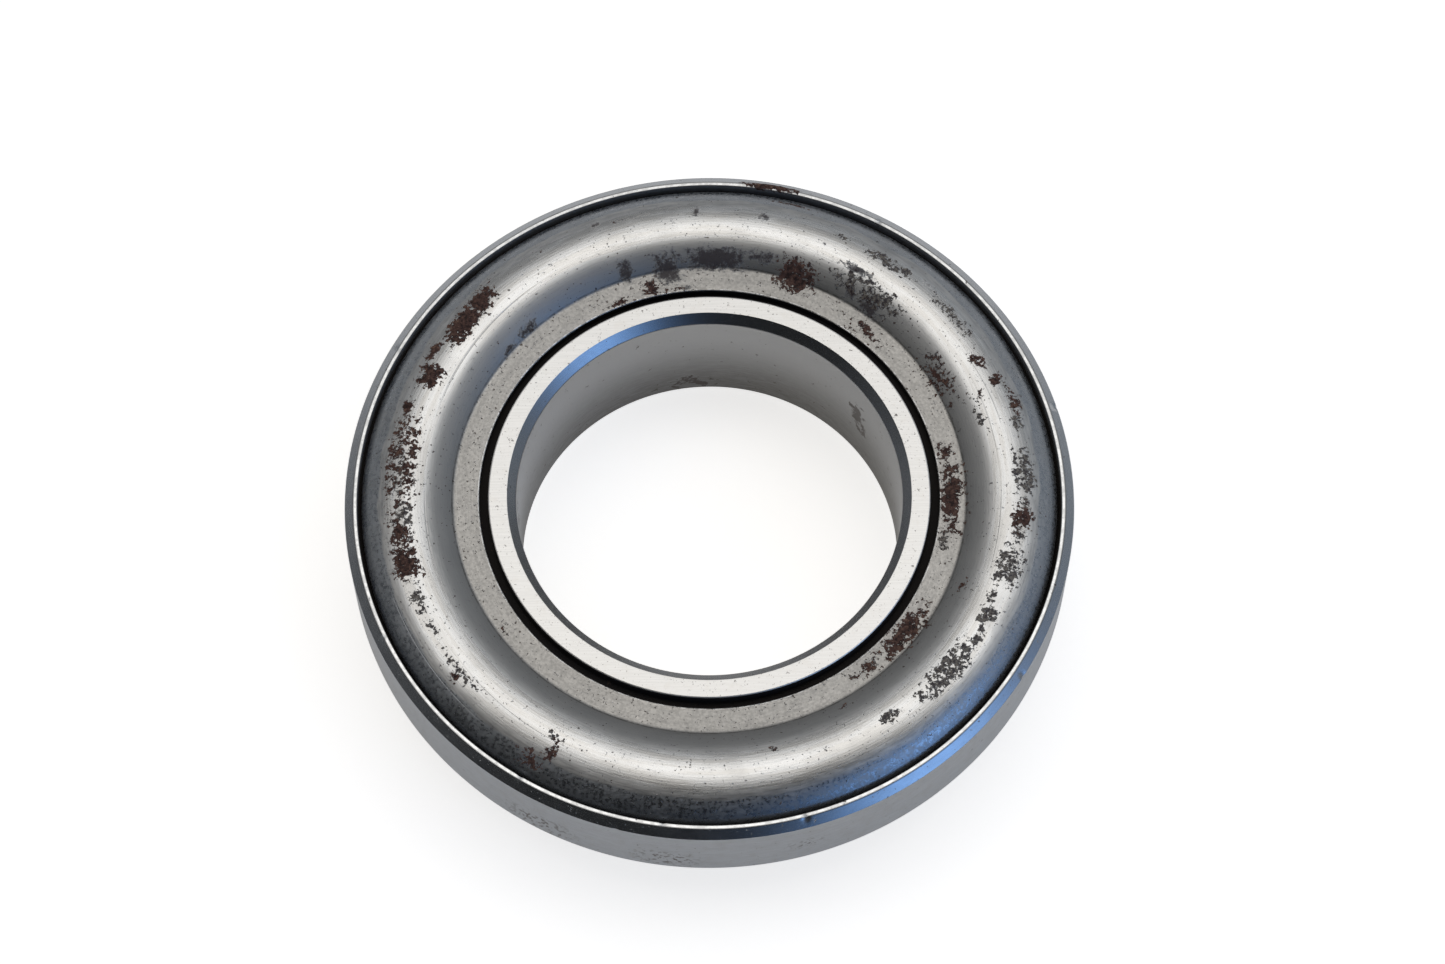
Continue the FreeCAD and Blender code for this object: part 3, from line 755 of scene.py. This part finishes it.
def inner_ring_steel():
    """Near-white ground face with fine straight grinding lines, slate-dark chamfer, a satin bore darkened towards
    its bottom by painted shade, and painted black shade in the gap beside the nose.
    """
    g = Graph(bpy.data.materials.new("inner_ring_steel"))
    position, radius, height, streaks = axis_space(g)
    line_space = g.vector("MULTIPLY", position, (0.12, 3.2, 1.0)).outputs[0]
    lines = g.noise(line_space, 1.4, 3.0, 0.6)
    brushing = g.noise(streaks, 5.0, 3.0, 0.65)
    mottle = g.noise(position, 0.8, 4.0, 0.6)
    lace = g.noise(position, 0.9, 6.0, 0.7)

    face_inner = BORE_RADIUS + BORE_CHAMFER
    near_top = g.step(height, INNER_TOP - 0.22, INNER_TOP - 0.15)
    face = g.times(g.band(radius, face_inner, NOSE_RADIUS - 0.04, 0.03), near_top)
    bore = g.step(radius, BORE_RADIUS + 0.03, BORE_RADIUS + 0.10, 1.0, 0.0)
    # Painted shade: the nose's outer wall and the rib top down in the gap are coloured near black.
    gap_shade = g.times(
        g.step(radius, NOSE_RADIUS - 0.05, NOSE_RADIUS - 0.01),
        g.step(height, INNER_TOP - RIB_TOP_DEPTH - 0.5, INNER_TOP - RIB_TOP_DEPTH - 0.3),
    )

    face_steel = g.blend(g.step(lines, 0.3, 0.7), grey(0.82, 0.025), grey(0.93, 0.025))
    face_steel = g.blend(g.times(g.step(mottle, 0.52, 0.72), 0.35), face_steel, grey(0.78, 0.05))
    # Painted shade: the bore darkens towards its bottom, as shade near the floor would make it.
    shaded_bore_steel = g.blend(g.step(height, 0.5, INNER_TOP - 4.0), grey(0.17, 0.05), grey(0.50, 0.0))
    shaded_bore_steel = g.blend(g.times(g.step(brushing, 0.35, 0.7), 0.25), shaded_bore_steel, grey(0.50, 0.0))
    steel = g.blend(bore, grey(0.50, -0.02), shaded_bore_steel)
    steel = g.blend(face, steel, face_steel)
    steel = g.blend(gap_shade, steel, PAINTED_GAP_SHADE)

    grime = g.ragged(g.attribute("grime"), lace, 0.8)
    pits = g.specks(position, 2.2, 0.735)
    flecks = g.times(g.times(g.specks(position, 3.8, 0.66), face), 0.45)
    colour = g.blend(g.times(pits, 0.8), steel, BROWN_DIRT)
    colour = g.blend(g.math("MAXIMUM", flecks, g.times(grime, 0.75)), colour, BROWN_DIRT)
    roughness = g.blend(face, g.blend(bore, 0.24, 0.36), 0.40)
    roughness = g.plus(roughness, g.centred(lines, 0.03))
    roughness = g.blend(gap_shade, roughness, 0.8)
    metallic = g.blend(g.math("MAXIMUM", gap_shade, g.times(grime, 0.5)), 1.0, 0.1)
    bump = g.plus(g.times(g.blend(face, brushing, lines), 0.12), g.times(mottle, 0.05))
    bump = g.math("SUBTRACT", bump, pits)
    return g.finish(colour, roughness, metallic, bump, 0.025, 0.3)


def roller_steel():
    """Honed bearing steel: bright, with fine lines round the roller and a faint oil film."""
    g = Graph(bpy.data.materials.new("roller_steel"))
    position = axis_space(g)[0]
    along = g.add("ShaderNodeCombineXYZ", {2: g.attribute("along")}).outputs[0]
    lines = g.noise(along, 9.0, 3.0, 0.7)
    film = g.noise(position, 0.35, 3.0, 0.6)
    colour = g.blend(g.step(film, 0.4, 0.7), grey(0.66, 0.0), grey(0.56, 0.04))
    colour = g.blend(g.times(g.step(lines, 0.5, 0.65), 0.35), colour, grey(0.50, 0.02))
    roughness = g.plus(0.14, g.times(film, 0.12))
    return g.finish(colour, roughness, 1.0, g.times(lines, 0.2), 0.01)


def cage_steel():
    """Matt pressed sheet with a phosphated, slightly blotchy surface."""
    g = Graph(bpy.data.materials.new("cage_steel"))
    position, _, _, streaks = axis_space(g)
    blotch = g.noise(position, 0.45, 4.0, 0.6)
    grain = g.noise(position, 5.0, 3.0, 0.6)
    drawn = g.noise(streaks, 5.0, 2.0, 0.6)
    colour = g.blend(g.step(blotch, 0.35, 0.65), grey(0.26, 0.03), grey(0.36, 0.02))
    roughness = g.plus(0.38, g.times(grain, 0.2))
    bump = g.plus(g.times(grain, 0.25), g.times(drawn, 0.15))
    return g.finish(colour, roughness, 1.0, bump, 0.02, 0.2)


def floor_paper():
    """Pale matt paper, lifted to near white for the camera alone, so the steel reflects a dimmer floor."""
    g = Graph(bpy.data.materials.new("floor_paper"))
    position = g.add("ShaderNodeTexCoord").outputs["Object"]
    grain = g.noise(position, 900.0, 2.0, 0.5)
    to_camera = g.add("ShaderNodeLightPath").outputs["Is Camera Ray"]
    shader = g.add("ShaderNodeBsdfPrincipled", {
        "Base Color": g.blend(grain, grey(0.78, 0.02), grey(0.82, 0.02)), "Roughness": 0.9,
        "Specular IOR Level": 0.2, "Emission Color": grey(1.0, 0.012),
        "Emission Strength": g.plus(FLOOR_GLOW, g.times(to_camera, FLOOR_LIFT)),
    })
    output = g.add("ShaderNodeOutputMaterial")
    g.tree.links.new(shader.outputs[0], output.inputs[0])
    return g.owner


# ---- Pieces
def outer_ring():
    mesh = turned_mesh("outer_ring_turned", outer_ring_outline(), SEGMENTS)
    azimuth, radius, height = polar(mesh)
    on_wall = radius > OUTER_RADIUS - 0.1
    set_attribute(mesh, "rust", patch_field(azimuth, radius, RIM_RUST) * (height > RIM_TOP - 0.5))
    set_attribute(mesh, "grime", patch_field(azimuth, height, WALL_GRIME) * on_wall)
    push_along_normals(mesh, -nick_depths(mesh, NICKS))
    add_piece("outer_ring_turned", mesh, outer_ring_steel(), "outer_ring", "outer_ring")


def inner_ring():
    mesh = turned_mesh("inner_ring_turned", inner_ring_outline(), SEGMENTS)
    azimuth, radius, height = polar(mesh)
    set_attribute(mesh, "grime", patch_field(azimuth, height, BORE_GRIME) * (radius < BORE_RADIUS + 0.1))
    add_piece("inner_ring_turned", mesh, inner_ring_steel(), "inner_ring", "inner_ring")


def front_shield():
    mesh = turned_mesh("front_shield_pressed", shield_outline(), SEGMENTS)
    azimuth, radius, _ = polar(mesh)
    faces_up = normals_of(mesh)[:, 2] > 0.05
    rust = patch_field(azimuth, radius, RUST) * faces_up - patch_field(azimuth, radius, BARE)
    set_attribute(mesh, "rust", rust)
    set_attribute(mesh, "stain", patch_field(azimuth, radius, STAIN) * faces_up)
    set_attribute(mesh, "speckle", patch_field(azimuth, radius, SPECKLE) * faces_up)
    on_dome = np.clip((radius - LAND_END) / 2, 0, 1) * np.clip((SHIELD_SEAT_RADIUS - radius) / 2, 0, 1)
    waves = 0.018 * noise_at(mesh, 9.0, 1) * on_dome
    crust = np.clip(rust * 2 - 0.8, 0, 1) * np.abs(noise_at(mesh, 0.6, 2)) * 0.06
    push_along_normals(mesh, waves + crust)
    add_piece("front_shield_pressed", mesh, shield_steel(), "outer_ring", "front_shield")


def rollers():
    material = roller_steel()
    outline = roller_outline()
    for joint in ROLLER_JOINTS:
        node = joint["child"]
        mesh = turned_mesh(f"{node}_honed", outline, ROLLER_SEGMENTS)
        set_attribute(mesh, "along", coordinates(mesh)[:, 2])
        turn = Vector((0, 0, 1)).rotation_difference(Vector(joint["axis"])).to_matrix().to_4x4()
        mesh.transform(Matrix.Translation(Vector(joint["pos_m"])) @ turn)
        add_piece(f"{node}_honed", mesh, material, node, node)


def cage():
    node = frame["nodes"]["roller_cage"]
    node.data.materials.clear()
    node.data.materials.append(cage_steel())


# ---- Studio
def floor():
    mesh = bpy.data.meshes.new("floor")
    size = 6.0
    corners = [(-size, -size, 0), (size, -size, 0), (size, size, 0), (-size, size, 0)]
    mesh.from_pydata(corners, [], [(0, 1, 2, 3)])
    mesh.materials.append(floor_paper())
    plane = bpy.data.objects.new("floor", mesh)
    plane.location.z = -0.02 * MM
    bpy.context.scene.collection.objects.link(plane)


def direction(azimuth, elevation):
    a, e = math.radians(azimuth), math.radians(elevation)
    return math.cos(e) * math.cos(a), math.cos(e) * math.sin(a), math.sin(e)


def surroundings():
    """The studio as the steel reflects it: a broad soft light high behind the bearing, with brighter ends, a
    blue window low at the front right, a pale wall on the right and a dark side round the camera. The camera
    sees a plain white wall."""
    g = Graph(bpy.data.worlds.new("studio"))
    bpy.context.scene.world = g.owner
    heading = g.add("ShaderNodeTexCoord").outputs["Generated"]

    def lobe(azimuth, elevation, sharpness, colour):
        facing = g.vector("DOT_PRODUCT", heading, direction(azimuth, elevation)).outputs["Value"]
        share = g.math("POWER", g.math("MAXIMUM", facing, 0.0), sharpness)
        return g.vector("MULTIPLY", share, colour).outputs[0]

    def softbox(azimuth, elevation, width, depth, colour):
        """A soft light with its own reach from side to side and from low to high."""
        facing = g.vector("DOT_PRODUCT", heading, direction(azimuth, elevation)).outputs["Value"]
        side, low = direction(azimuth + 90, 0), direction(azimuth, elevation - 90)
        aside = g.times(g.vector("DOT_PRODUCT", heading, side).outputs["Value"], 1 / width)
        below = g.times(g.vector("DOT_PRODUCT", heading, low).outputs["Value"], 1 / depth)
        fall = g.plus(g.times(aside, aside), g.times(below, below))
        share = g.times(g.math("EXPONENT", g.times(fall, -1.0)), g.step(facing, 0.0, 0.3))
        return g.vector("MULTIPLY", share, colour).outputs[0]

    behind = g.add("ShaderNodeSeparateXYZ", {0: heading}).outputs[1]
    room = g.plus(g.step(behind, 0.0, 1.0, 0.0, ROOM_BACK), g.step(behind, -0.7, 0.3, ROOM_FRONT, ROOM_SIDE))
    light = g.vector("MULTIPLY", room, (0.95, 1.0, 1.06)).outputs[0]
    light = g.vector("ADD", light, softbox(90, 75, 0.38, 0.34, KEY_COLOUR)).outputs[0]
    light = g.vector("ADD", light, lobe(167, 57, 45.0, ENDS_COLOUR)).outputs[0]
    light = g.vector("ADD", light, lobe(15, 58, 45.0, ENDS_COLOUR)).outputs[0]
    light = g.vector("ADD", light, softbox(-38, 28, 0.36, 0.18, WINDOW_COLOUR)).outputs[0]
    light = g.vector("ADD", light, lobe(20, 28, 4.0, SIDE_COLOUR)).outputs[0]
    to_camera = g.add("ShaderNodeLightPath").outputs["Is Camera Ray"]
    light = g.add("ShaderNodeMix", {0: to_camera, 6: light, 7: grey(1.0)}, data_type="RGBA").outputs[2]
    background = g.add("ShaderNodeBackground", {0: light})
    output = g.add("ShaderNodeOutputWorld")
    g.tree.links.new(background.outputs[0], output.inputs[0])


def camera():
    """Long lens, from above the front, aimed a little past the bearing's middle."""
    distance = 0.462
    elevation = math.radians(65.1)
    middle = Vector((0, 0, RIM_TOP * MM))
    aim = middle + Vector((1.55, 1.44, 0)) * MM
    roll = math.radians(-0.27)
    data = bpy.data.cameras.new("camera")
    data.sensor_width = 36.0
    data.lens = 98.9
    obj = bpy.data.objects.new("camera", data)
    obj.location = middle + Vector((0, -math.cos(elevation), math.sin(elevation))) * distance
    facing = (aim - obj.location).to_track_quat("-Z", "Y").to_matrix()
    obj.rotation_euler = (facing @ Matrix.Rotation(roll, 3, "Z")).to_euler()
    bpy.context.scene.collection.objects.link(obj)
    bpy.context.scene.camera = obj


def studio():
    floor()
    surroundings()
    camera()
    bpy.context.scene.view_settings.view_transform = "Standard"


outer_ring()
inner_ring()
front_shield()
rollers()
cage()
studio()
